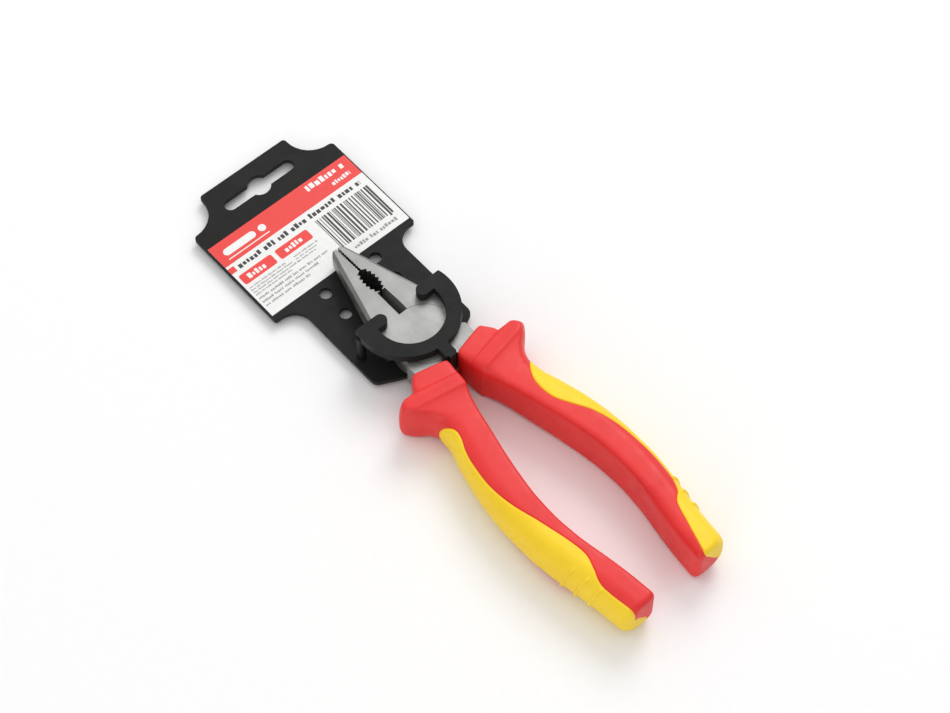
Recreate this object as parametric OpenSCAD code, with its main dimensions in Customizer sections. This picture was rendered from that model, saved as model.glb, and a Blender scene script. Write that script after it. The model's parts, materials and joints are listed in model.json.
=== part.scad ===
// Insulated combination pliers, clipped to a flat plastic hanger for display.
// +Y runs towards the jaws, +Z is up, and the grips rest on z = 0.
// The two steel halves are one shape: the upper one is the lower one turned over.

/* [Pliers head] */
// Distance from the pivot to the jaw tips
jaw_reach = 44; // [43.6:0.1:45]
// Thickness of the steel head
head_t = 9.5; // [9:0.25:9.5]
// Thickness that the jaws lose on each face by the tip
tip_taper = 1.4; // [0.8:0.1:1.6]
// Radius of the lapped joint disc
disc_r = 10.95; // [10.5:0.05:11]
// Radius of the rivet's shaft
rivet_r = 3.5; // [3:0.1:4]
// Width of the chamfer on the jaws' outer edges
jaw_chamfer = 1.1; // [0.4:0.1:1.4]
// Number of teeth on each side of the pipe grip
pipe_teeth = 6; // [4:1:7]

/* [Grips] */
// Thickness of the grips at their crest
grip_t = 17.6; // [17:0.2:18]
// Thickness of the yellow insert's layer
insert_t = 1.8; // [1.4:0.1:2]

/* [Hanger] */
// Height of the card's top edge above the pivot, along Y
card_top = 94.6; // [92:0.2:96]
// Half width of the card's upper panel
panel_hw = 29.5; // [29.2:0.1:30]
// Half width of the card's lower neck
neck_hw = 20.5; // [20:0.1:21.5]
// Thickness of the card
card_t = 1.7; // [1.4:0.1:1.8]
// Radius of the four round holes
hole_r = 2.1; // [1.8:0.1:2.3]
// Thickness of the clip's ring
ring_t = 3; // [2.4:0.2:3.2]
// Thickness of the paper label
label_t = 0.15; // [0.1:0.05:0.2]

/* [Hidden] */
$fn = 96;

steel_colour = [0.74, 0.74, 0.73];
red_colour = [0.93, 0.27, 0.27];
yellow_colour = [1, 0.86, 0.26];
black_colour = [0.17, 0.17, 0.17];
paper_colour = [0.97, 0.97, 0.96];

// Overall placing: the origin is the bottom centre of the whole object's box.
grip_end = 115.8;
pivot_y = (grip_end - card_top) / 2;
mid_z = grip_t / 2;
over = 1;

// Fits of the joint.
lap_gap = 0.06;
disc_gap = 0.1;
rivet_gap = 0.05;
rivet_head_r = 5;
rivet_head_t = 1.2;

// Jaw features, as distances from the pivot along Y.
cutter_y0 = 10.8;
cutter_y1 = 21.8;
cutter_hw = 1.65;
cutter_gap = 0.05;
pipe_y1 = 32.3;
pipe_hw = 2.35;
pipe_tooth = 0.45;
flat_gap = 0.3;
flat_tooth = 0.22;
flat_teeth = 9;
tip_y = jaw_reach - 1.1;
taper_y = 15;
tang_t = 8;

// Hanger heights above the rest plane.
card_z = 1.9;
card_top_z = card_z + card_t;
ring_z = mid_z + head_t / 2 + 0.45;
slot_y = 85.3;
slot_hw = 14.2;
slot_r = 2.2;
slot_eye_r = 4;
hole_x = 10.5;
hole_ys = [27.5, 37.6];
leg_r = 1.5;
leg_pos = [16.9, 11.7];
stem_hw = 1.3;
stem_y0 = -13.6;
stem_y1 = -11.35;

// Outer edge of a jaw from the shoulder to the tip, for the right jaw.
jaw_outer = [[1.9, jaw_reach], [2.9, tip_y], [5.3, 34.5], [6.75, 29], [8.75, 22],
             [10.4, 16], [11.6, 11], [12.4, 7], [12.2, 4.2], [5, 1.8]];

// Shank and tang of a handle's steel, for the left handle.
shank_points = [[-2.4, -8.5], [-2.8, -11.5], [-4.2, -14.5], [-4.8, -17],
                [-12.6, -17], [-12.2, -12], [-12.2, -5.4], [-11.2, -4.4], [-6, -3]];
tang_inner = [[-4.8, -16], [-6.8, -25], [-9.1, -34], [-12.6, -48],
              [-15.6, -62], [-16.6, -74], [-15.9, -86], [-14, -100]];
tang_outer = [[-17.4, -100], [-19.7, -88], [-20.8, -76], [-20.2, -64],
              [-18, -49], [-15.2, -35], [-13.9, -25], [-12.6, -16]];

// Radius of the corners on a grip's inner side.
inner_corner = 1.8;

// Sections of the right grip, front to end:
// [inner x, inner y, outer x, outer y, half thickness, radius of the outer corner].
grip_sections = [
    [2.0, -13.1, 14.4, -10.0, 7.4, 1.0],
    [2.0, -14.0, 15.2, -11.0, 7.75, 1.0],
    [2.3, -17.0, 17.3, -13.8, 7.9, 1.1],
    [2.5, -18.8, 18.2, -15.4, 7.95, 1.2],
    [2.6, -19.3, 23.2, -15.3, 8.35, 1.6],
    [2.7, -20.4, 25.1, -16.5, 8.5, 1.8],
    [2.9, -21.8, 25.9, -17.9, 8.65, 1.8],
    [3.2, -23.4, 25.2, -19.2, 8.8, 2.0],
    [3.7, -24.8, 23.2, -21.4, 8.3, 2.6],
    [4.7, -27.2, 20.4, -24.4, 7.9, 3.6],
    [5.7, -30.4, 19.0, -28.4, 7.75, 4.8],
    [6.7, -34.2, 19.3, -33.4, 7.9, 5.8],
    [8.3, -41.2, 21.4, -41, 8.1, 6.2],
    [10.4, -50, 23.6, -50, 8.4, 6.2],
    [12.2, -59, 25.0, -59, 8.7, 6.2],
    [13.4, -68, 25.6, -68, 8.8, 6.2],
    [13.7, -76, 25.6, -76, 8.8, 6.2],
    [13.0, -86, 24.7, -86, 8.8, 6.2],
    [11.5, -95, 23.2, -95, 8.8, 6.2],
    [10.1, -104, 21.8, -104, 8.8, 6.2],
    [9.4, -110.8, 21.1, -110.8, 8.8, 6.2],
    [9.3, -113.7, 20.5, -113.7, 8.3, 6.0],
    [10.6, -grip_end, 18.2, -grip_end, 6.8, 4.0]];

// Edge of the yellow insert on the right grip's upper face and on its lower face.
insert_edge_up = [[19.4, -28.4], [14.7, -33.6], [12.6, -40], [13.6, -48], [18.4, -56.5],
                  [22, -66], [23.1, -75], [22, -86.5], [18.5, -94.2], [14.8, -98.6],
                  [12.6, -105], [9.2, -117]];
insert_edge_down = [[19.6, -27.8], [17.4, -33], [18.3, -37], [20.4, -43], [22.2, -52],
                    [22.4, -60], [20.6, -70.5], [18.2, -82.5], [16.8, -91], [18, -96.8],
                    [20, -100.5], [20.3, -117]];

function catmull(a, b, c, d, t) =
    0.5 * (2 * b + (c - a) * t + (2 * a - 5 * b + 4 * c - d) * t * t
           + (3 * b - a - 3 * c + d) * t * t * t);

// A smooth curve through the points, with n steps between each two.
function smooth_path(p, n) = concat(
    [for (i = [0:len(p) - 2], s = [0:n - 1])
        catmull(p[max(i - 1, 0)], p[i], p[i + 1], p[min(i + 2, len(p) - 1)], s / n)],
    [p[len(p) - 1]]);

// One ring of a grip's section: w wide and h half thick.
// The corner on its outer side is outer_r where there is room for it.
function ring(w, h, outer_r) = let (ri = min(inner_corner, w / 3), ro = min(outer_r, w * 0.55),
                                    rz = h * 0.86)
    concat([for (a = [180, 135, 90]) [ri + ri * cos(a), h - ri + ri * sin(a)]],
           [for (a = [90, 67.5, 45, 22.5, 0]) [w - ro + ro * cos(a), h - rz + rz * sin(a)]],
           [for (a = [0, 22.5, 45, 67.5, 90]) [w - ro + ro * cos(a), rz - h - rz * sin(a)]],
           [for (a = [90, 135, 180]) [ri + ri * cos(a), ri - h - ri * sin(a)]]);

// The ring of section s, drawn in by e on every side and placed in the plan.
function placed_ring(s, e) = let (span = [s[2] - s[0], s[3] - s[1]], w = norm(span), u = span / w)
    [for (p = ring(w - 2 * e, s[4] - e, s[5]))
        [s[0] + u[0] * (p[0] + e), s[1] + u[1] * (p[0] + e), p[1]]];

// The same section moved by dy along the handle.
function shifted(s, dy) = [s[0], s[1] + dy, s[2], s[3] + dy, s[4], s[5]];

module at_pivot() {
    translate([0, pivot_y, mid_z]) children();
}

module turned_over() {
    rotate([0, 180, 0]) children();
}

module on_both_sides() {
    for (side = [0, 1]) mirror([side, 0, 0]) children();
}

module on_both_faces() {
    for (side = [0, 1]) mirror([0, 0, side]) children();
}

// ---- steel ----

module jaw_outline() {
    pipe_mid = (cutter_y1 + pipe_y1) / 2;
    pipe_half = (pipe_y1 - cutter_y1) / 2 + 0.35;
    pipe_step = (pipe_y1 - cutter_y1) / (2 * pipe_teeth);
    flat_step = (tip_y - pipe_y1) / (2 * flat_teeth);
    pipe = [for (i = [0:2 * pipe_teeth]) let (y = cutter_y1 + i * pipe_step)
        [pipe_hw * sqrt(1 - pow((y - pipe_mid) / pipe_half, 2))
            + (i % 2 == 0 ? -pipe_tooth : pipe_tooth), y]];
    flat = [for (i = [1:2 * flat_teeth - 1])
        [flat_gap + (i % 2 == 0 ? 0 : flat_tooth), pipe_y1 + i * flat_step]];
    polygon(concat([[cutter_gap, 5], [cutter_gap, cutter_y1]], pipe, flat,
                   [[flat_gap, jaw_reach]], jaw_outer));
}

// Sloping walls of the cutter, which meet at the middle plane.
module cutter_cut() {
    slope = cutter_hw / (head_t / 2);
    reach = head_t / 2 + over;
    translate([0, cutter_y1, 0])
        rotate([90, 0, 0])
            linear_extrude(cutter_y1 - cutter_y0)
                polygon([[-over, -reach], [cutter_gap + slope * reach, -reach], [cutter_gap, 0],
                         [cutter_gap + slope * reach, reach], [-over, reach]]);
}

// The faces slope towards each other from the cutter to the tip.
module tip_cut() {
    slope = atan(tip_taper / (jaw_reach - taper_y));
    on_both_faces()
        translate([-over, taper_y, head_t / 2])
            rotate([-slope, 0, 0]) cube([20, 40, 5]);
}

// A chamfer along the straight outer edge of the jaw, on both faces.
module jaw_edge_cut() {
    lean = atan((jaw_outer[5][0] - jaw_outer[1][0]) / (tip_y - jaw_outer[5][1]));
    slope = atan(tip_taper / (jaw_reach - taper_y));
    on_both_faces()
        translate([jaw_outer[5][0], jaw_outer[5][1], head_t / 2])
            rotate([-slope, 0, lean])
                rotate([0, 45, 0])
                    translate([0, 10, 0])
                        cube([jaw_chamfer * sqrt(2), 60, jaw_chamfer * sqrt(2)], center = true);
}

module shank_and_tang(shank_t, tang_thick) {
    linear_extrude(shank_t, center = true) polygon(shank_points);
    linear_extrude(tang_thick, center = true) polygon(concat(tang_inner, tang_outer));
}

// One steel half: right jaw, lower half of the joint disc, left shank and tang.
module lever(bore_gap) {
    difference() {
        union() {
            difference() {
                union() {
                    linear_extrude(head_t, center = true) jaw_outline();
                    shank_and_tang(head_t, tang_t);
                }
                translate([0, 0, -lap_gap / 2]) cylinder(r = disc_r + disc_gap, h = head_t);
            }
            translate([0, 0, -head_t / 2]) cylinder(r = disc_r, h = (head_t - lap_gap) / 2);
        }
        cutter_cut();
        tip_cut();
        jaw_edge_cut();
        cylinder(r = rivet_r + bore_gap, h = 3 * head_t, center = true);
        translate([0, 0, -head_t / 2])
            cylinder(r1 = rivet_head_r + bore_gap, r2 = rivet_r + bore_gap, h = rivet_head_t);
    }
}

module lower_lever() {
    color(steel_colour) at_pivot() lever(0);
}

module upper_lever() {
    color(steel_colour) at_pivot() turned_over() lever(rivet_gap);
}

module pivot_rivet() {
    color(steel_colour) at_pivot() {
        cylinder(r = rivet_r, h = head_t, center = true);
        on_both_faces()
            translate([0, 0, head_t / 2 - rivet_head_t])
                cylinder(r1 = rivet_r, r2 = rivet_head_r, h = rivet_head_t);
    }
}

// ---- grips ----

// The grip's outer form, drawn in by e.
module grip_form(e) {
    last = len(grip_sections) - 1;
    rings = [for (i = [0:last])
        placed_ring(shifted(grip_sections[i], i == 0 ? -e : i > last - 2 ? e : 0), e)];
    n = len(rings[0]);
    k = len(rings);
    sides = [for (i = [0:k - 2], j = [0:n - 1])
        [i * n + j, i * n + (j + 1) % n, (i + 1) * n + (j + 1) % n, (i + 1) * n + j]];
    triangles = [for (f = sides) each [[f[0], f[1], f[2]], [f[0], f[2], f[3]]]];
    caps = [[for (j = [n - 1:-1:0]) j], [for (j = [0:n - 1]) (k - 1) * n + j]];
    polyhedron(points = [for (r = rings) each r], faces = concat(triangles, caps), convexity = 6);
}

// The space outside the insert's edge, above and below the middle plane.
module insert_zone() {
    far = [[60, -130], [60, -26]];
    linear_extrude(grip_t) polygon(concat(smooth_path(insert_edge_up, 3), far));
    mirror([0, 0, 1])
        linear_extrude(grip_t) polygon(concat(smooth_path(insert_edge_down, 3), far));
}

module grip_sleeve() {
    difference() {
        union() {
            difference() {
                grip_form(0);
                insert_zone();
            }
            grip_form(insert_t);
        }
        mirror([1, 0, 0]) shank_and_tang(head_t, tang_t);
    }
}

module grip_insert() {
    intersection() {
        difference() {
            grip_form(0);
            grip_form(insert_t);
        }
        insert_zone();
    }
}

module right_grip_sleeve() {
    color(red_colour) at_pivot() grip_sleeve();
}

module left_grip_sleeve() {
    color(red_colour) at_pivot() turned_over() grip_sleeve();
}

module right_grip_insert() {
    color(yellow_colour) at_pivot() grip_insert();
}

module left_grip_insert() {
    color(yellow_colour) at_pivot() turned_over() grip_insert();
}

// ---- hanger ----

// Points along an arc from angle a0 to angle a1.
function arc(centre, r, a0, a1) =
    [for (i = [0:8]) centre + r * [cos(a0 + (a1 - a0) * i / 8), sin(a0 + (a1 - a0) * i / 8)]];

// Right half of the card: tab, concave scoop, label panel, filleted neck, V-shaped lower edge, tongue.
function card_half() =
    let (tab_hw = 18.1, tab_r = 1.2, panel_r = 1.5, foot_r = 1, fillet_r = 6.5, corner_r = 3,
         panel_y0 = 39.9, panel_y1 = 83, fall = 0.5, tongue_hw = stem_hw + 0.2,
         scoop_r = panel_hw - panel_r - tab_hw,
         corner = [neck_hw - corner_r, corner_r],
         touch = corner + corner_r * [fall, -1] / norm([fall, -1]))
    concat(arc([tab_hw - tab_r, card_top - tab_r], tab_r, 90, 0),
           arc([tab_hw + scoop_r, panel_y1 + scoop_r], scoop_r, 180, 270),
           arc([panel_hw - panel_r, panel_y1 - panel_r], panel_r, 80, 0),
           arc([panel_hw - foot_r, panel_y0 + foot_r], foot_r, 0, -90),
           arc([neck_hw + fillet_r, panel_y0 - fillet_r], fillet_r, 90, 180),
           arc(corner, corner_r, 0, -atan(1 / fall)),
           [[tongue_hw, touch[1] - (touch[0] - tongue_hw) * fall], [tongue_hw, stem_y0 - 0.6]]);

module card_outline() {
    half = card_half();
    n = len(half);
    polygon(concat(half, [for (i = [n - 1:-1:0]) [-half[i][0], half[i][1]]]));
}

module hang_slot_outline() {
    translate([0, slot_y]) {
        square([2 * (slot_hw - slot_r), 2 * slot_r], center = true);
        for (s = [-1, 1]) translate([s * (slot_hw - slot_r), 0]) circle(r = slot_r);
        circle(r = slot_eye_r);
    }
}

module hanger_card() {
    color(black_colour)
        translate([0, pivot_y, card_z])
            linear_extrude(card_t)
                difference() {
                    card_outline();
                    hang_slot_outline();
                    for (sx = [-1, 1], y = hole_ys) translate([sx * hole_x, y]) circle(r = hole_r);
                    on_both_sides() translate(leg_pos) circle(r = leg_r);
                }
}

// The open ring that lies over the joint, with a hook at each end.
module ring_outline() {
    outer_r = 17.8;
    outer_y = 9.3;
    inner_r = 11.7;
    inner_y = 7.7;
    hook_r = 2.2;
    hook_x = 8.8;
    top_y = 13.7;
    difference() {
        intersection() {
            translate([0, outer_y]) circle(r = outer_r);
            translate([-30, -30]) square([60, 30 + top_y]);
        }
        translate([0, inner_y]) circle(r = inner_r);
        translate([-inner_r, inner_y]) square([2 * inner_r, 20]);
    }
    on_both_sides() {
        translate([hook_x, top_y - 2 * hook_r]) square([inner_r + 2 - hook_x, 2 * hook_r]);
        translate([hook_x, top_y - hook_r]) circle(r = hook_r);
    }
    translate([-2, stem_y0 + 1]) square([4, outer_y - outer_r + 3 - stem_y0 - 1]);
    translate([-stem_hw, stem_y0]) square([2 * stem_hw, 3]);
}

module hanger_clip() {
    color(black_colour)
        translate([0, pivot_y, 0]) {
            translate([0, 0, ring_z]) linear_extrude(ring_t) ring_outline();
            translate([0, 0, card_z])
                on_both_sides() translate(leg_pos) cylinder(r = leg_r, h = ring_z - card_z + over);
            translate([-stem_hw, stem_y0, card_top_z])
                cube([2 * stem_hw, stem_y1 - stem_y0, ring_z - card_top_z + over]);
        }
}

module hanger_label() {
    label_hw = 29;
    label_y0 = 42.2;
    label_y1 = 76;
    color(paper_colour)
        translate([-label_hw, pivot_y + label_y0, card_top_z])
            cube([2 * label_hw, label_y1 - label_y0, label_t]);
}

lower_lever();
upper_lever();
pivot_rivet();
left_grip_sleeve();
right_grip_sleeve();
left_grip_insert();
right_grip_insert();
hanger_card();
hanger_clip();
hanger_label();
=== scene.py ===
"""Looks of the insulated pliers on their hanger card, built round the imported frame."""

import json
import math
import random

import bmesh
import bpy
import numpy as np
from mathutils import Matrix, Vector


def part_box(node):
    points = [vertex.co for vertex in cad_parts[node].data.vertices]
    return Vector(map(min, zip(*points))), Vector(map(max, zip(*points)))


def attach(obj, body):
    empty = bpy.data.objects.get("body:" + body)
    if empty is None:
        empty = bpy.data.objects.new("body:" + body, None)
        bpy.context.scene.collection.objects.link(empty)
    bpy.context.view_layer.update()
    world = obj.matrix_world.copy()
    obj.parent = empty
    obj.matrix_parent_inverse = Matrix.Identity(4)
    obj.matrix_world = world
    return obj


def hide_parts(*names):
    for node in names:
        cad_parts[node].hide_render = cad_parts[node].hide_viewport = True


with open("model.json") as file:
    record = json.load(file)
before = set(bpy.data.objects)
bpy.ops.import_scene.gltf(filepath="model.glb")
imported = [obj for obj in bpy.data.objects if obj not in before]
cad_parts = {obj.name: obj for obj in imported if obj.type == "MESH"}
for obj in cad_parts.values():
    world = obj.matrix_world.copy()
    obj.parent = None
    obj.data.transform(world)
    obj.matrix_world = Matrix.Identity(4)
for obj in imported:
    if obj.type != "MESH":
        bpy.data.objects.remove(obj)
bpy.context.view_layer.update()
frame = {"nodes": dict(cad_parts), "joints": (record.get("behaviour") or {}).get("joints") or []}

MM = 0.001
PIVOT = Vector(frame["joints"][0]["pos_m"])


def at(x, y, z=0.0):
    """A point given in millimetres from the pivot, in the row frame."""
    return PIVOT + Vector((x, y, z)) * MM


# ---------------------------------------------------------------- camera

CAMERA_AZIMUTH = math.radians(-41.23)
CAMERA_ELEVATION = math.radians(58.93)
CAMERA_DISTANCE = 0.8005
CAMERA_LENS = 94.5
AIM = at(11.54, -10.66)


def make_camera():
    back = Vector((math.sin(CAMERA_AZIMUTH) * math.cos(CAMERA_ELEVATION),
                   -math.cos(CAMERA_AZIMUTH) * math.cos(CAMERA_ELEVATION),
                   math.sin(CAMERA_ELEVATION)))
    aim = Vector((AIM.x, AIM.y, 0))
    camera = bpy.data.objects.new("camera", bpy.data.cameras.new("camera"))
    camera.data.lens = CAMERA_LENS
    camera.data.sensor_width = 36
    camera.data.clip_start = 0.05
    camera.location = aim + back * CAMERA_DISTANCE
    camera.rotation_euler = (-back).to_track_quat("-Z", "Y").to_euler()
    bpy.context.scene.collection.objects.link(camera)
    bpy.context.scene.camera = camera


# ---------------------------------------------------------------- materials

# Most of a noise texture's values lie between these two.
NOISE_LOW = 0.3
NOISE_HIGH = 0.7


def new_material(name, colour, roughness, metallic=0.0, specular=0.5):
    """A principled material, with its nodes, links and shader handed back for more detail."""
    material = bpy.data.materials.new(name)
    material.use_nodes = True
    tree = material.node_tree
    shader = tree.nodes["Principled BSDF"]
    shader.inputs["Base Color"].default_value = (*colour, 1)
    shader.inputs["Roughness"].default_value = roughness
    shader.inputs["Metallic"].default_value = metallic
    shader.inputs["Specular IOR Level"].default_value = specular
    return material, tree, shader


def add_noise(tree, scale, detail=4.0, roughness=0.6, stretch=(1, 1, 1)):
    """A noise texture in the object's own space; its output has a mean of about one half."""
    coords = tree.nodes.new("ShaderNodeTexCoord")
    mapping = tree.nodes.new("ShaderNodeMapping")
    mapping.inputs["Scale"].default_value = stretch
    noise = tree.nodes.new("ShaderNodeTexNoise")
    noise.inputs["Scale"].default_value = scale
    noise.inputs["Detail"].default_value = detail
    noise.inputs["Roughness"].default_value = roughness
    tree.links.new(coords.outputs["Object"], mapping.inputs["Vector"])
    tree.links.new(mapping.outputs["Vector"], noise.inputs["Vector"])
    return noise.outputs["Fac"]


def add_range(tree, value, low, high):
    """Maps a noise value onto the range low to high."""
    node = tree.nodes.new("ShaderNodeMapRange")
    node.inputs["From Min"].default_value = NOISE_LOW
    node.inputs["From Max"].default_value = NOISE_HIGH
    node.inputs["To Min"].default_value = low
    node.inputs["To Max"].default_value = high
    tree.links.new(value, node.inputs["Value"])
    return node.outputs["Result"]


def add_colours(tree, value, dark, light):
    """Blends between two colours by a noise value."""
    ramp = tree.nodes.new("ShaderNodeValToRGB")
    ramp.color_ramp.elements[0].position = NOISE_LOW
    ramp.color_ramp.elements[0].color = (*dark, 1)
    ramp.color_ramp.elements[1].position = NOISE_HIGH
    ramp.color_ramp.elements[1].color = (*light, 1)
    tree.links.new(value, ramp.inputs["Fac"])
    return ramp.outputs["Color"]


def add_bump(tree, shader, heights):
    """Stacks bump layers, given as (height value, depth in metres), onto the shader's normal."""
    normal = None
    for value, depth in heights:
        bump = tree.nodes.new("ShaderNodeBump")
        bump.inputs["Strength"].default_value = 1
        bump.inputs["Distance"].default_value = depth
        tree.links.new(value, bump.inputs["Height"])
        if normal is not None:
            tree.links.new(normal, bump.inputs["Normal"])
        normal = bump.outputs["Normal"]
    tree.links.new(normal, shader.inputs["Normal"])


def steel_material():
    """Satin, lightly blasted steel with faint cloudiness."""
    material, tree, shader = new_material("satin_steel", (0.32, 0.32, 0.312), 0.44, metallic=1.0)
    cloud = add_noise(tree, 90, detail=3)
    grain = add_noise(tree, 2600, detail=2)
    scuff = add_noise(tree, 260, detail=5, stretch=(1, 0.12, 1))
    tree.links.new(add_colours(tree, cloud, (0.27, 0.27, 0.262), (0.34, 0.34, 0.33)),
                   shader.inputs["Base Color"])
    tree.links.new(add_range(tree, scuff, 0.38, 0.54), shader.inputs["Roughness"])
    add_bump(tree, shader, [(grain, 0.00003), (scuff, 0.00002)])
    return material


def moulded_material(name, dark, light, roughness, grain_depth, grain_scale=1700, specular=0.5):
    """Injection-moulded plastic with a fine grained surface and slight colour drift."""
    material, tree, shader = new_material(name, light, roughness, specular=specular)
    drift = add_noise(tree, 60, detail=3)
    grain = add_noise(tree, grain_scale, detail=2)
    smear = add_noise(tree, 220, detail=4)
    tree.links.new(add_colours(tree, drift, dark, light), shader.inputs["Base Color"])
    tree.links.new(add_range(tree, smear, roughness - 0.06, roughness + 0.08),
                   shader.inputs["Roughness"])
    add_bump(tree, shader, [(grain, grain_depth)])
    return material


def ink_material(name, colour):
    """Print on coated paper, with a faint mottle."""
    material, tree, shader = new_material(name, colour, 0.4)
    mottle = add_noise(tree, 900, detail=3)
    tree.links.new(add_colours(tree, mottle, [c * 0.93 for c in colour], colour),
                   shader.inputs["Base Color"])
    fibre = add_noise(tree, 1500, detail=3, stretch=(1, 0.5, 1))
    add_bump(tree, shader, [(fibre, 0.000008)])
    return material


STEEL = steel_material()
RED = moulded_material("red_plastic", (0.76, 0.024, 0.024), (0.83, 0.036, 0.033), 0.44, 0.00003,
                       specular=0.4)
YELLOW = moulded_material("yellow_rubber", (0.96, 0.63, 0.012), (0.99, 0.7, 0.02), 0.48, 0.00003,
                          specular=0.4)
BLACK = moulded_material("black_plastic", (0.008, 0.008, 0.0078), (0.012, 0.012, 0.0115), 0.5,
                         0.00004, grain_scale=900, specular=0.18)
PAPER = ink_material("label_paper", (0.86, 0.86, 0.85))
INK_RED = ink_material("ink_red", (0.84, 0.046, 0.038))
INK_BLACK = ink_material("ink_black", (0.03, 0.03, 0.03))
INK_GREY = ink_material("ink_grey", (0.3, 0.3, 0.29))
INK_WHITE = ink_material("ink_white", (0.88, 0.88, 0.87))


# ---------------------------------------------------------------- mesh helpers

BEVEL_SEGMENTS = 3
BEVEL_ANGLE = math.radians(28)


def make_object(name, mesh, materials):
    for material in materials:
        mesh.materials.append(material)
    piece = bpy.data.objects.new(name, mesh)
    bpy.context.scene.collection.objects.link(piece)
    return piece


def shade(mesh, angle):
    """Smooth shading, with edges sharper than this many degrees kept crisp."""
    mesh.shade_smooth()
    mesh.set_sharp_from_angle(angle=math.radians(angle))


def rings_mesh(name, rings):
    """A closed mesh from rings of points, all with the same number of points, capped at both ends."""
    count = len(rings[0])
    points = [p for ring in rings for p in ring]
    faces = []
    for i in range(len(rings) - 1):
        for j in range(count):
            k = (j + 1) % count
            faces.append((i * count + j, i * count + k, (i + 1) * count + k, (i + 1) * count + j))
    faces.append(tuple(range(count - 1, -1, -1)))
    faces.append(tuple((len(rings) - 1) * count + j for j in range(count)))
    mesh = bpy.data.meshes.new(name)
    mesh.from_pydata(points, [], faces)
    edit = bmesh.new()
    edit.from_mesh(mesh)
    bmesh.ops.remove_doubles(edit, verts=edit.verts, dist=1e-6)
    bmesh.ops.dissolve_degenerate(edit, edges=edit.edges, dist=1e-7)
    bmesh.ops.recalc_face_normals(edit, faces=edit.faces)
    edit.to_mesh(mesh)
    edit.free()
    return mesh


def apply_modifiers(piece):
    graph = bpy.context.evaluated_depsgraph_get()
    done = bpy.data.meshes.new_from_object(piece.evaluated_get(graph))
    piece.modifiers.clear()
    piece.data = done


def rounded_copy(node, name, material, width):
    """A new piece with the shape of a CAD node and softened edges."""
    mesh = frame["nodes"][node].data.copy()
    mesh.materials.clear()
    edit = bmesh.new()
    edit.from_mesh(mesh)
    bmesh.ops.remove_doubles(edit, verts=edit.verts, dist=2e-6)
    bmesh.ops.dissolve_limit(edit, angle_limit=math.radians(1.5), verts=edit.verts, edges=edit.edges)
    edit.to_mesh(mesh)
    edit.free()
    mesh.name = name
    piece = make_object(name, mesh, [material])
    bevel = piece.modifiers.new("bevel", "BEVEL")
    bevel.width = width * MM
    bevel.segments = BEVEL_SEGMENTS
    bevel.limit_method = "ANGLE"
    bevel.angle_limit = BEVEL_ANGLE
    bevel.use_clamp_overlap = True
    bevel.miter_outer = "MITER_ARC"
    apply_modifiers(piece)
    shade(piece.data, 35)
    weighted = piece.modifiers.new("weighted", "WEIGHTED_NORMAL")
    weighted.keep_sharp = True
    weighted.weight = 100
    apply_modifiers(piece)
    return piece


# ---------------------------------------------------------------- grips

# All lengths of the grips are in millimetres, and places are measured from the pivot.
# Sections of the right grip, front to end: inner x, inner y,
# outer x, outer y, half thickness, inner corner above and below, outer corner.
GRIP_END = 115.8
GRIP_SECTIONS = np.array([
    [2.0, -12.9, 14.3, -9.8, 7.75, 1.2, 1.2, 0.9],
    [2.0, -14.0, 15.2, -11.0, 7.8, 1.3, 1.2, 0.9],
    [2.3, -17.0, 17.3, -13.8, 7.85, 2.2, 1.2, 1.0],
    [2.5, -18.7, 18.1, -15.3, 7.9, 2.8, 1.2, 1.1],
    [2.6, -19.3, 23.2, -15.3, 8.3, 3.0, 1.2, 1.9],
    [2.7, -20.4, 25.1, -16.5, 8.45, 3.1, 1.2, 2.5],
    [2.9, -21.8, 25.9, -17.9, 8.65, 3.2, 1.2, 3.0],
    [3.2, -23.4, 25.2, -19.2, 8.8, 3.2, 1.2, 3.2],
    [3.75, -24.6, 23.5, -21.1, 8.3, 2.9, 1.2, 2.3],
    [4.6, -26.9, 20.6, -24.2, 7.9, 2.2, 1.3, 3.4],
    [5.7, -30.4, 19.0, -28.4, 7.72, 1.8, 1.3, 4.8],
    [6.7, -34.2, 19.3, -33.4, 7.85, 1.7, 1.3, 5.8],
    [8.3, -41.2, 21.4, -41, 8.1, 1.7, 1.3, 6.2],
    [10.4, -50, 23.6, -50, 8.4, 1.7, 1.3, 6.2],
    [12.2, -59, 25.0, -59, 8.7, 1.7, 1.3, 6.2],
    [13.4, -68, 25.6, -68, 8.8, 1.7, 1.3, 6.2],
    [13.7, -76, 25.6, -76, 8.8, 1.7, 1.3, 6.2],
    [13.0, -86, 24.7, -86, 8.8, 1.7, 1.3, 6.2],
    [12.4, -90, 24.1, -90, 8.8, 2.9, 1.3, 6.2],
    [11.5, -95, 23.2, -95, 8.8, 3.2, 1.3, 6.2],
    [10.1, -104, 21.8, -104, 8.8, 3.2, 1.3, 6.2],
    [8.9, -GRIP_END, 20.6, -GRIP_END, 8.8, 3.0, 1.3, 6.0]])
# Edge of the yellow insert on the right grip's upper face and on its lower face: (x, y).
EDGE_UP = [(19.4, -28.4), (15.2, -32.9), (13.1, -38), (13.5, -45), (16.3, -51), (19.8, -57.5),
           (22.4, -66), (23.4, -76), (22.8, -87.5), (20.4, -94), (16.8, -97.4), (14.4, -104.5),
           (11.7, -113), (10.2, -117.5)]
EDGE_DOWN = [(19.6, -27.6), (17.2, -32), (16.7, -34.3), (17.3, -37), (19.2, -41.3), (20.7, -47),
             (21.9, -55.8), (21.3, -65.3), (18.8, -75.4), (16.6, -85.4), (15.9, -92.2),
             (17.4, -97.3), (18.9, -101.3), (18.9, -106), (17.4, -117.5)]
# Spacing of the sections, and of the closer ones at the guard and at the ribs.
SECTION_STEP = 0.7
FINE_STEP = 0.28
GUARD_LENGTH = 17
RIB_MARGIN = 3
FRONT_ROUND = 0.8
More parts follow.
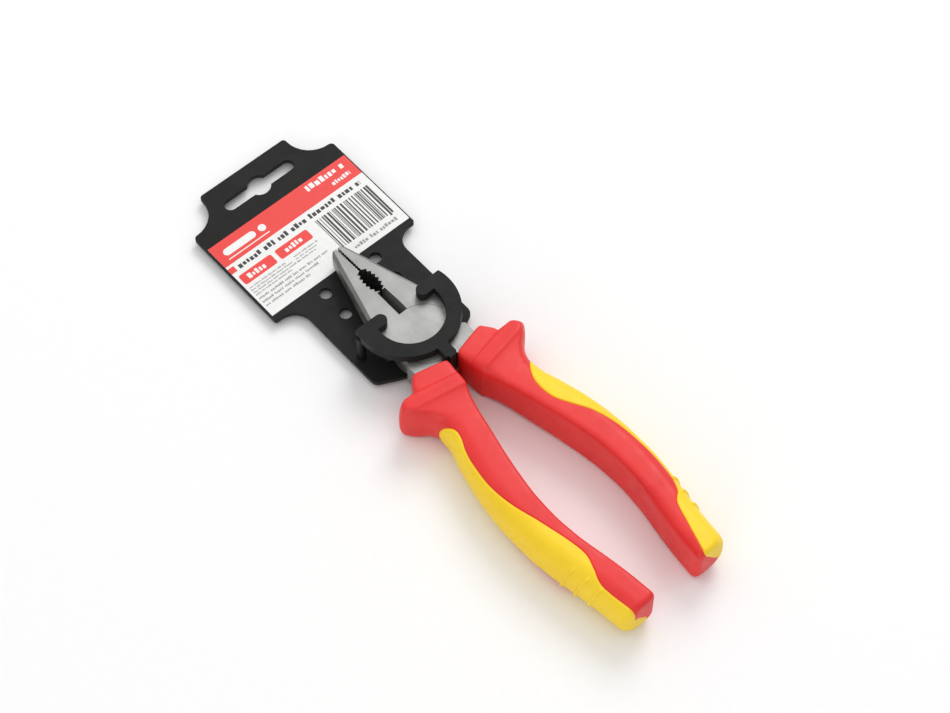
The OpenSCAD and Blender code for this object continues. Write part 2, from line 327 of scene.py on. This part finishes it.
# Rounding of the grip's end: how far it runs along the handle, and how much it takes off.
END_LONG = 4.2
END_INNER = (2.0, 1.7)
END_OUTER = (3.2, 3.0)
END_ABOVE = (2.0, 1.9)
END_BELOW = (4.2, 5.4)
# A section's outline: how far its edges are softened, the spacing of its dense points, the
# share of the height that the outer corner takes, and the crown of the flat faces.
EDGE_SOFTNESS = 0.55
OUTLINE_STEP = 0.1
OUTER_TALL = 0.86
CROWN = 0.16
# No point lies further from the middle plane than this, so the grips rest on the floor.
REST_HALF = 8.79
# Points along each half of a piece, and the weight of a corner against a length.
RED_POINTS = 52
YELLOW_POINTS = 30
SEAT_POINTS = 8
TURN_WEIGHT = 3.5
# The groove between sleeve and insert, and the insert's seat, which becomes a straight line
# across the section close to the grip's end.
GROOVE_DEPTH = 0.28
GROOVE_WIDTH = 0.5
INSERT_PROUD = 0.12
SEAT_DEPTH = 1.5
SEAT_GAP = 0.03
THINNEST_INSERT = 0.25
STRAIGHT_FROM = 7.0
STRAIGHT_OVER = 2.5
# The three ribs across the insert's outer side.
RIB_PLACES = (-91.4, -96.6, -101.8)
RIB_HEIGHT = 0.62
RIB_HALF = 0.62
RIB_SLANT = 0.23
RIB_TOP = 7.6


def monotone(knots, values, where):
    """Cubic interpolation of each column that never overshoots its knots."""
    gaps = np.diff(knots)[:, None]
    slopes = np.diff(values, axis=0) / gaps
    tangents = np.zeros_like(values)
    before, after = slopes[:-1], slopes[1:]
    weight_a = 2 * gaps[1:] + gaps[:-1]
    weight_b = gaps[1:] + 2 * gaps[:-1]
    same = before * after > 0
    safe_before = np.where(same, before, 1)
    safe_after = np.where(same, after, 1)
    mean = (weight_a + weight_b) / (weight_a / safe_before + weight_b / safe_after)
    tangents[1:-1] = np.where(same, mean, 0)
    tangents[0], tangents[-1] = slopes[0], slopes[-1]
    index = np.clip(np.searchsorted(knots, where) - 1, 0, len(knots) - 2)
    gap = gaps[index]
    t = ((where - knots[index])[:, None]) / gap
    return ((1 + 2 * t) * (1 - t) ** 2 * values[index] + t * (1 - t) ** 2 * gap * tangents[index]
            + t * t * (3 - 2 * t) * values[index + 1] + t * t * (t - 1) * gap * tangents[index + 1])


def smooth_path(points, steps=12):
    """A Catmull-Rom curve through the points."""
    p = np.array(points, float)
    p = np.vstack([p[0], p, p[-1]])
    out = []
    for i in range(1, len(p) - 2):
        a, b, c, d = p[i - 1], p[i], p[i + 1], p[i + 2]
        for t in np.arange(steps) / steps:
            out.append(0.5 * (2 * b + (c - a) * t + (2 * a - 5 * b + 4 * c - d) * t * t
                              + (3 * b - a - 3 * c + d) * t ** 3))
    out.append(p[-2])
    return np.array(out)


def station_places(places):
    """Distances along the grip of its sections: close at the guard and at the ribs."""
    run = np.concatenate([[0], np.cumsum(np.linalg.norm(np.diff(places, axis=0), axis=1))])
    length = run[-1]
    ribs = np.interp((-RIB_PLACES[0] - RIB_MARGIN, -RIB_PLACES[-1] + RIB_MARGIN),
                     -places[:, 1], run)
    where = list(FRONT_ROUND * (1 - np.cos(np.radians(np.linspace(0, 90, 6)))))
    while where[-1] < length - END_LONG - SECTION_STEP:
        fine = where[-1] < GUARD_LENGTH or ribs[0] < where[-1] < ribs[1]
        where.append(where[-1] + (FINE_STEP if fine else SECTION_STEP))
    where += list(length - END_LONG + END_LONG * np.sin(np.radians(np.linspace(0, 88, 14))))
    return run, np.array(where)


def end_bend(distance, size):
    """How much a rounding of this size takes off at this distance from the grip's end."""
    along, taken = size
    t = max(0, 1 - distance / along)
    return taken * (1 - math.sqrt(max(0, 1 - t * t)))


def grip_stations(above):
    """Sections with their shrunk widths and heights; above is the sign of the half that faces up."""
    middle = (GRIP_SECTIONS[:, 0:2] + GRIP_SECTIONS[:, 2:4]) / 2
    run, where = station_places(middle)
    sections = monotone(run, GRIP_SECTIONS, where)
    taken = []
    for w in where:
        left = run[-1] - w
        front = FRONT_ROUND * (1 - math.sqrt(max(0, 1 - max(0, 1 - w / FRONT_ROUND) ** 2)))
        up, down = end_bend(left, END_ABOVE), end_bend(left, END_BELOW)
        halves = (up, down) if above > 0 else (down, up)
        taken.append((front + end_bend(left, END_INNER), front + end_bend(left, END_OUTER),
                      front + halves[0], front + halves[1]))
    return where, sections, taken


def softened(line):
    """The outline with its corners rounded, mirrored past both ends so that they stay square on."""
    run = np.concatenate([[0], np.cumsum(np.linalg.norm(np.diff(line, axis=0), axis=1))])
    even = np.linspace(0, run[-1], max(40, int(run[-1] / OUTLINE_STEP)))
    points = np.column_stack([np.interp(even, run, line[:, k]) for k in (0, 1)])
    reach = int(EDGE_SOFTNESS / OUTLINE_STEP)
    flip = np.array([1, -1])
    for _ in range(2):
        padded = np.vstack([points[reach:0:-1] * flip, points, points[-2:-reach - 2:-1] * flip])
        sums = np.cumsum(np.vstack([[0, 0], padded]), axis=0)
        points = (sums[2 * reach + 1:] - sums[:-2 * reach - 1]) / (2 * reach + 1)
    return points


def half_profile(width, half, inner, outer):
    """Dense outline of a section's half, from the middle of its inner side to its outer side."""
    inner = min(inner, width / 3, half / 2)
    outer = min(outer, width * 0.55)
    tall = half * OUTER_TALL
    line = [(0, z) for z in np.linspace(0, half - inner, 24, endpoint=False)]
    line += [(inner - inner * math.cos(a), half - inner + inner * math.sin(a))
             for a in np.linspace(0, math.pi / 2, 16, endpoint=False)]
    line += [(x, half) for x in np.linspace(inner, width - outer, 40, endpoint=False)]
    line += [(width - outer + outer * math.sin(a), half - tall + tall * math.cos(a))
             for a in np.linspace(0, math.pi / 2, 48)]
    line += [(width, z) for z in np.linspace(half - tall, 0, 8)[1:]]
    line = softened(np.array(line))
    middle = width * 0.45
    flatness = np.clip(line[:, 1] / half, 0, 1) ** 4
    line[:, 1] -= CROWN * flatness * ((line[:, 0] - middle) / middle) ** 2
    return line


class Profile:
    """Upper or lower half of one section, measured by its length from the inner side."""

    def __init__(self, section, taken, sign):
        inner, outer = section[0:2], section[2:4]
        width = np.linalg.norm(outer - inner)
        self.along = (outer - inner) / width
        self.start = inner + self.along * taken[0]
        corner = section[5] if sign > 0 else section[6]
        half = section[4] - (taken[2] if sign > 0 else taken[3])
        self.line = half_profile(width - taken[0] - taken[1], half, corner, section[7])
        steps = np.diff(self.line, axis=0)
        lengths = np.linalg.norm(steps, axis=1)
        self.run = np.concatenate([[0], np.cumsum(lengths)])
        self.length = self.run[-1]
        self.sign = sign
        turning = np.abs(np.diff(np.unwrap(np.arctan2(steps[:, 1], steps[:, 0]))))
        weight = lengths + np.concatenate([[0], turning]) * TURN_WEIGHT
        self.measure = np.concatenate([[0], np.cumsum(weight)])

    def plan(self, p):
        return self.start + np.outer(p, self.along)

    def crossing(self, edge):
        """Share of the length at which the outline passes the insert's edge, at most the whole."""
        plan = self.plan(self.line[:, 0])
        limit = np.interp(-plan[:, 1], -edge[:, 1], edge[:, 0], left=99, right=99)
        inside = np.nonzero(plan[:, 0] > limit)[0]
        if len(inside) == 0:
            return 1.0
        if inside[0] == 0:
            return 0.0
        k = inside[0]
        before = plan[k - 1, 0] - limit[k - 1]
        after = plan[k, 0] - limit[k]
        share = before / (before - after)
        return (self.run[k - 1] + share * (self.run[k] - self.run[k - 1])) / self.length

    def spaced(self, start, stop, count, near):
        """count lengths from start to stop, close at corners and within near of stop."""
        close = min(near, 0.6 * abs(stop - start)) * np.sign(stop - start)
        tail = stop - close * np.array([1, 0.75, 0.5, 0.3, 0.14, 0.04, 0])
        rest = count - len(tail)
        first, last = np.interp((start, stop - close), self.run, self.measure)
        body = np.interp(np.linspace(first, last, rest, endpoint=False), self.measure, self.run)
        return np.concatenate([body, tail])

    def points(self, lengths, offsets):
        """Points at these lengths, moved outward by these offsets."""
        p = np.interp(lengths, self.run, self.line[:, 0])
        z = np.interp(lengths, self.run, self.line[:, 1])
        step = 0.15
        ahead = np.clip(lengths + step, 0, self.length)
        back = np.clip(lengths - step, 0, self.length)
        dp = np.interp(ahead, self.run, self.line[:, 0]) - np.interp(back, self.run, self.line[:, 0])
        dz = np.interp(ahead, self.run, self.line[:, 1]) - np.interp(back, self.run, self.line[:, 1])
        size = np.hypot(dp, dz)
        p = p - dz / size * offsets
        z = np.minimum(z + dp / size * offsets, REST_HALF)
        return np.column_stack([self.plan(p), z * self.sign])


def rib_lift(points):
    """How far the three ribs lift the insert's outer side."""
    lift = np.zeros(len(points))
    for place in RIB_PLACES:
        distance = points[:, 1] - (place + RIB_SLANT * points[:, 2])
        lift += np.sqrt(np.clip(1 - (distance / RIB_HALF) ** 2, 0, 1))
    fade = np.clip(RIB_TOP - np.abs(points[:, 2]), 0, 1)
    return RIB_HEIGHT * lift * fade


def straightened(both, left):
    """The seat's two halves, drawn to a straight line across the section at the grip's end."""
    share = np.clip((STRAIGHT_FROM - left) / STRAIGHT_OVER, 0, 1)
    path = np.vstack([both[0], both[1][::-1][1:]])
    run = np.concatenate([[0], np.cumsum(np.linalg.norm(np.diff(path, axis=0), axis=1))])
    if run[-1] < 1e-6:
        return both
    line = path[0] + np.outer(run / run[-1], path[-1] - path[0])
    path = path + (line - path) * share
    return [path[:len(both[0])], path[len(both[0]) - 1:][::-1]]


def grip_rings(above):
    """Rings of the red sleeve and of the yellow insert for the right grip."""
    edges = (smooth_path(EDGE_UP), smooth_path(EDGE_DOWN))
    where, sections, taken = grip_stations(above)
    whole = (0, 0, 0, 0)
    shares = np.array([[Profile(s, whole, sign).crossing(edge)
                        for sign, edge in zip((1, -1), edges)] for s in sections])
    profiles = [(Profile(s, t, 1), Profile(s, t, -1)) for s, t in zip(sections, taken)]
    direct = np.array([[p.crossing(edge) for p, edge in zip(pair, edges)] for pair in profiles])
    full = np.array([[pair[0].length, pair[1].length] for pair in profiles])
    cross = np.maximum(shares, direct) * full
    steep = np.abs(np.gradient(cross, where, axis=0))
    stretch = np.sqrt(1 + np.clip(steep, 0, 3) ** 2)
    sleeve, insert = [], []
    for i, pair in enumerate(profiles):
        wide = (full[i] - cross[i]).sum()
        thin = min(1, wide / 2)
        depth = min(SEAT_DEPTH, 0.35 * wide)
        red, yellow, seat, back = [], [], [], []
        for k in (0, 1):
            near = 1.6 * GROOVE_WIDTH * stretch[i, k]
            lengths = pair[k].spaced(0, cross[i, k], RED_POINTS, near)
            distance = (cross[i, k] - lengths) / stretch[i, k]
            sink = GROOVE_DEPTH * np.clip(1 - distance / GROOVE_WIDTH, 0, 1) ** 2
            red.append(pair[k].points(lengths, -sink * thin))
            inner = np.linspace(cross[i, k], full[i, k], SEAT_POINTS)
            seat.append(pair[k].points(inner, -depth))
            back.append(pair[k].points(inner, -max(0, depth - SEAT_GAP)))
            lengths = pair[k].spaced(full[i, k], cross[i, k], YELLOW_POINTS, near)
            distance = (lengths - cross[i, k]) / stretch[i, k]
            groove = np.clip(1 - distance / GROOVE_WIDTH, 0, 1) ** 2
            lift = (INSERT_PROUD - (GROOVE_DEPTH + INSERT_PROUD) * groove) * thin
            base = pair[k].points(lengths, lift)
            yellow.append(pair[k].points(lengths, lift + rib_lift(base)))
        seat, back = [straightened(both, where[-1] - where[i]) for both in (seat, back)]
        sleeve.append(np.vstack([red[0], seat[0], seat[1][::-1][1:], red[1][::-1][:-1]]))
        if wide > THINNEST_INSERT:
            insert.append(np.vstack([yellow[0][::-1], yellow[1][1:],
                                     back[1], back[0][::-1][1:]]))
    return sleeve, insert


def place_grip(rings, turned):
    """Puts the rings in the row frame; the left grip is the right one turned over."""
    flip = -1 if turned else 1
    return [[at(flip * p[0], p[1], flip * p[2]) for p in ring] for ring in rings]


def make_grips():
    for side, turned, body in (("right", False, "upper_half"), ("left", True, "lower_half")):
        sleeve, insert = grip_rings(-1 if turned else 1)
        for kind, rings, material, slot in (("sleeve", sleeve, RED, "red_grip"),
                                            ("insert", insert, YELLOW, "yellow_grip")):
            name = f"{side}_{kind}_moulding"
            mesh = rings_mesh(name, place_grip(rings, turned))
            shade(mesh, 50)
            piece = make_object(name, mesh, [material])
            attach(piece, body)
            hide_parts(f"{side}_grip_{kind}")


# ---------------------------------------------------------------- steel and black plastic

def make_hard_parts():
    for node, name, material, slot, body, width in (
            ("lower_lever", "lower_lever_forging", STEEL, "steel", "lower_half", 0.22),
            ("upper_lever", "upper_lever_forging", STEEL, "steel", "upper_half", 0.22),
            ("hanger_clip", "hanger_clip_moulding", BLACK, "black_plastic", "hanger", 0.45),
            ("hanger_card", "hanger_card_moulding", BLACK, "black_plastic", "hanger", 0.25)):
        piece = rounded_copy(node, name, material, width)
        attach(piece, body)
        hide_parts(node)


def set_material(node, material):
    mesh = frame["nodes"][node].data
    mesh.materials.clear()
    mesh.materials.append(material)


# ---------------------------------------------------------------- label

PRINT_RISE = 0.02
# Places and sizes of the print, in millimetres, measured from the pivot.
BAND_HEIGHT = 9.4
TITLE_Y = 63.2
TITLE_HEIGHT = 2.1
TAG_BOTTOM = 57
TAG_TOP = 61.3
TAG_CORNER = 0.8
CAPSULE_BOTTOM = 69.8
CAPSULE_TOP = 72.6
BARS_LEFT = 4.6
BARS_RIGHT = 26.2
BARS_BOTTOM = 46.8
BARS_TOP = 61.6
BAR_WIDTHS = (0.25, 0.25, 0.5, 0.75)
BAR_GAPS = (0.25, 0.3, 0.5, 0.7)
BARS_SHORTER = 0.7
LONG_BAR_CHANCE = 0.12
SMALL_TOP = 55
SMALL_STEP = 1.15
NOTE_TOP = 49.6
NOTE_STEP = 1.75


class Print:
    """Flat printed shapes on the label, gathered into one mesh for each ink."""

    def __init__(self, name, height):
        self.name = name
        self.height = height
        self.mesh = bmesh.new()

    def outline(self, points):
        """A thin plate of ink with this outline, in millimetres from the pivot."""
        low = [self.mesh.verts.new(at(x, y)) for x, y in points]
        for v in low:
            v.co.z = self.height
        high = [self.mesh.verts.new(v.co + Vector((0, 0, PRINT_RISE * MM))) for v in low]
        count = len(low)
        self.mesh.faces.new(high)
        self.mesh.faces.new(low[::-1])
        for i in range(count):
            j = (i + 1) % count
            self.mesh.faces.new((low[i], low[j], high[j], high[i]))

    def bar(self, x0, y0, x1, y1):
        self.outline([(x0, y0), (x1, y0), (x1, y1), (x0, y1)])

    def rounded(self, x0, y0, x1, y1, r):
        points = []
        for cx, cy, start in ((x1 - r, y0 + r, -90), (x1 - r, y1 - r, 0),
                              (x0 + r, y1 - r, 90), (x0 + r, y0 + r, 180)):
            for a in np.radians(np.linspace(start, start + 90, 6)):
                points.append((cx + r * math.cos(a), cy + r * math.sin(a)))
        self.outline(points)

    def dashes(self, x0, x1, y, height, seed):
        """A row of plain dashes in word-like groups, with no lettering."""
        dice = random.Random(seed)
        x = x0
        left = dice.randint(3, 7)
        while x < x1:
            w = height * dice.uniform(0.35, 0.7)
            low = y + height * dice.choice((0, 0, 0.12))
            self.bar(x, low, min(x + w, x1), y + height * dice.choice((0.72, 0.78, 1)))
            x += w + height * 0.22
            left -= 1
            if left == 0:
                left = dice.randint(3, 9)
                x += height * 0.55

    def finish(self, material):
        mesh = bpy.data.meshes.new(self.name)
        self.mesh.normal_update()
        self.mesh.to_mesh(mesh)
        self.mesh.free()
        piece = make_object(self.name, mesh, [material])
        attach(piece, "hanger")


def print_band(red, white, left, right, top):
    """The red band, with a plain capsule, a dot and a rule on its left and dashes on its right."""
    red.bar(left, top - BAND_HEIGHT, right, top)
    white.bar(-26, 68.2, -9, 68.6)
    radius = (CAPSULE_TOP - CAPSULE_BOTTOM) / 2
    white.rounded(-26, CAPSULE_BOTTOM, -13, CAPSULE_TOP, radius)
    white.rounded(-11.5, CAPSULE_BOTTOM, -11.5 + 2 * radius, CAPSULE_TOP, radius)
    white.dashes(10.5, 26, 72.2, 2.4, 5)
    white.dashes(18.5, 26, 68.6, 1.6, 6)


def print_tags(red, white, left):
    """The small red stub at the title's left and the two red tags under it."""
    red.bar(left, TITLE_Y, left + 2.4, TITLE_Y + 2.4)
    red.rounded(-28, TAG_BOTTOM, -14.6, TAG_TOP, TAG_CORNER)
    red.rounded(-13, TAG_BOTTOM, 0.4, TAG_TOP, TAG_CORNER)
    white.dashes(-25.5, -17, TAG_BOTTOM + 1.1, 2.1, 7)
    white.dashes(-10, -2.8, TAG_BOTTOM + 1.1, 2.1, 9)


def print_bars(black):
    """A made-up pattern of bars that codes nothing."""
    dice = random.Random(3)
    x = BARS_LEFT
    while x < BARS_RIGHT:
        w = dice.choice(BAR_WIDTHS)
        lift = 0 if dice.random() < LONG_BAR_CHANCE else BARS_SHORTER
        black.bar(x, BARS_BOTTOM + lift, x + w, BARS_TOP)
        x += w + dice.choice(BAR_GAPS)


def print_notes(grey):
    """The dashes under the bars, two columns of small ones and three longer rows below them."""
    grey.dashes(8, 26, 44.2, 1.5, 13)
    for row in range(4):
        y = SMALL_TOP - SMALL_STEP * row
        grey.dashes(-28, -13 + 2 * (row % 3), y, 0.62, 20 + row)
        if row < 3:
            grey.dashes(-9.5, 0.4 - 1.2 * row, y, 0.62, 30 + row)
    for row in range(3):
        grey.dashes(-28, 0.3 - 5 * row, NOTE_TOP - NOTE_STEP * row, 0.95, 40 + row)


def make_label():
    low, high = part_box("hanger_label")
    set_material("hanger_label", PAPER)
    left, right = low.x / MM, high.x / MM
    top = (high.y - PIVOT.y) / MM
    red = Print("label_red_print", high.z)
    black = Print("label_black_print", high.z)
    grey = Print("label_grey_print", high.z)
    white = Print("label_white_print", high.z + PRINT_RISE * MM)
    print_band(red, white, left, right, top)
    print_tags(red, white, left)
    black.dashes(-25.4, 25.8, TITLE_Y, TITLE_HEIGHT, 11)
    print_bars(black)
    print_notes(grey)
    for ink, material in ((red, INK_RED), (black, INK_BLACK), (grey, INK_GREY), (white, INK_WHITE)):
        ink.finish(material)


# ---------------------------------------------------------------- stage

FLOOR_HALF = 3.0
# The dome's brightest direction, and its strength at right angles to it and straight at it.
DOME_BRIGHT = (0.12, 0.15, 1)
DOME_LEVEL = (0.12, 1.14)


def make_floor():
    material, tree, shader = new_material("pale_floor", (0.93, 0.93, 0.93), 0.6, specular=0.2)
    grain = add_noise(tree, 300, detail=2)
    tree.links.new(add_colours(tree, grain, (0.925, 0.925, 0.925), (0.935, 0.935, 0.935)),
                   shader.inputs["Base Color"])
    corners = [(x * FLOOR_HALF, y * FLOOR_HALF, 0) for x, y in ((-1, -1), (1, -1), (1, 1), (-1, 1))]
    mesh = bpy.data.meshes.new("floor")
    mesh.from_pydata(corners, [], [(0, 1, 2, 3)])
    make_object("floor", mesh, [material])


def add_area(name, place, size, power):
    light = bpy.data.lights.new(name, "AREA")
    light.shape = "DISK"
    light.size = size
    light.energy = power
    lamp = bpy.data.objects.new(name, light)
    lamp.location = place
    lamp.rotation_euler = (Vector((0, 0, 0)) - Vector(place)).to_track_quat("-Z", "Y").to_euler()
    bpy.context.scene.collection.objects.link(lamp)


def make_world():
    """A studio dome, bright overhead and towards its bright side, dim near the horizon."""
    world = bpy.data.worlds.new("studio")
    world.use_nodes = True
    tree = world.node_tree
    sky = tree.nodes["Background"]
    sky.inputs["Color"].default_value = (1, 1, 1, 1)
    coords = tree.nodes.new("ShaderNodeTexCoord")
    facing = tree.nodes.new("ShaderNodeVectorMath")
    facing.operation = "DOT_PRODUCT"
    facing.inputs[1].default_value = Vector(DOME_BRIGHT).normalized()
    level = tree.nodes.new("ShaderNodeMapRange")
    level.inputs["From Min"].default_value = 0
    level.inputs["From Max"].default_value = 1
    level.inputs["To Min"].default_value = DOME_LEVEL[0]
    level.inputs["To Max"].default_value = DOME_LEVEL[1]
    tree.links.new(coords.outputs["Generated"], facing.inputs[0])
    tree.links.new(facing.outputs["Value"], level.inputs["Value"])
    tree.links.new(level.outputs["Result"], sky.inputs["Strength"])
    bpy.context.scene.world = world


def make_light():
    make_world()
    add_area("key", (1.0, 0.5, 1.15), 0.9, 9)
    add_area("fill", (-1.25, -0.55, 0.42), 0.9, 4)
    bpy.context.scene.view_settings.view_transform = "Standard"


make_camera()
make_grips()
make_hard_parts()
set_material("pivot_rivet", STEEL)
make_label()
make_floor()
make_light()
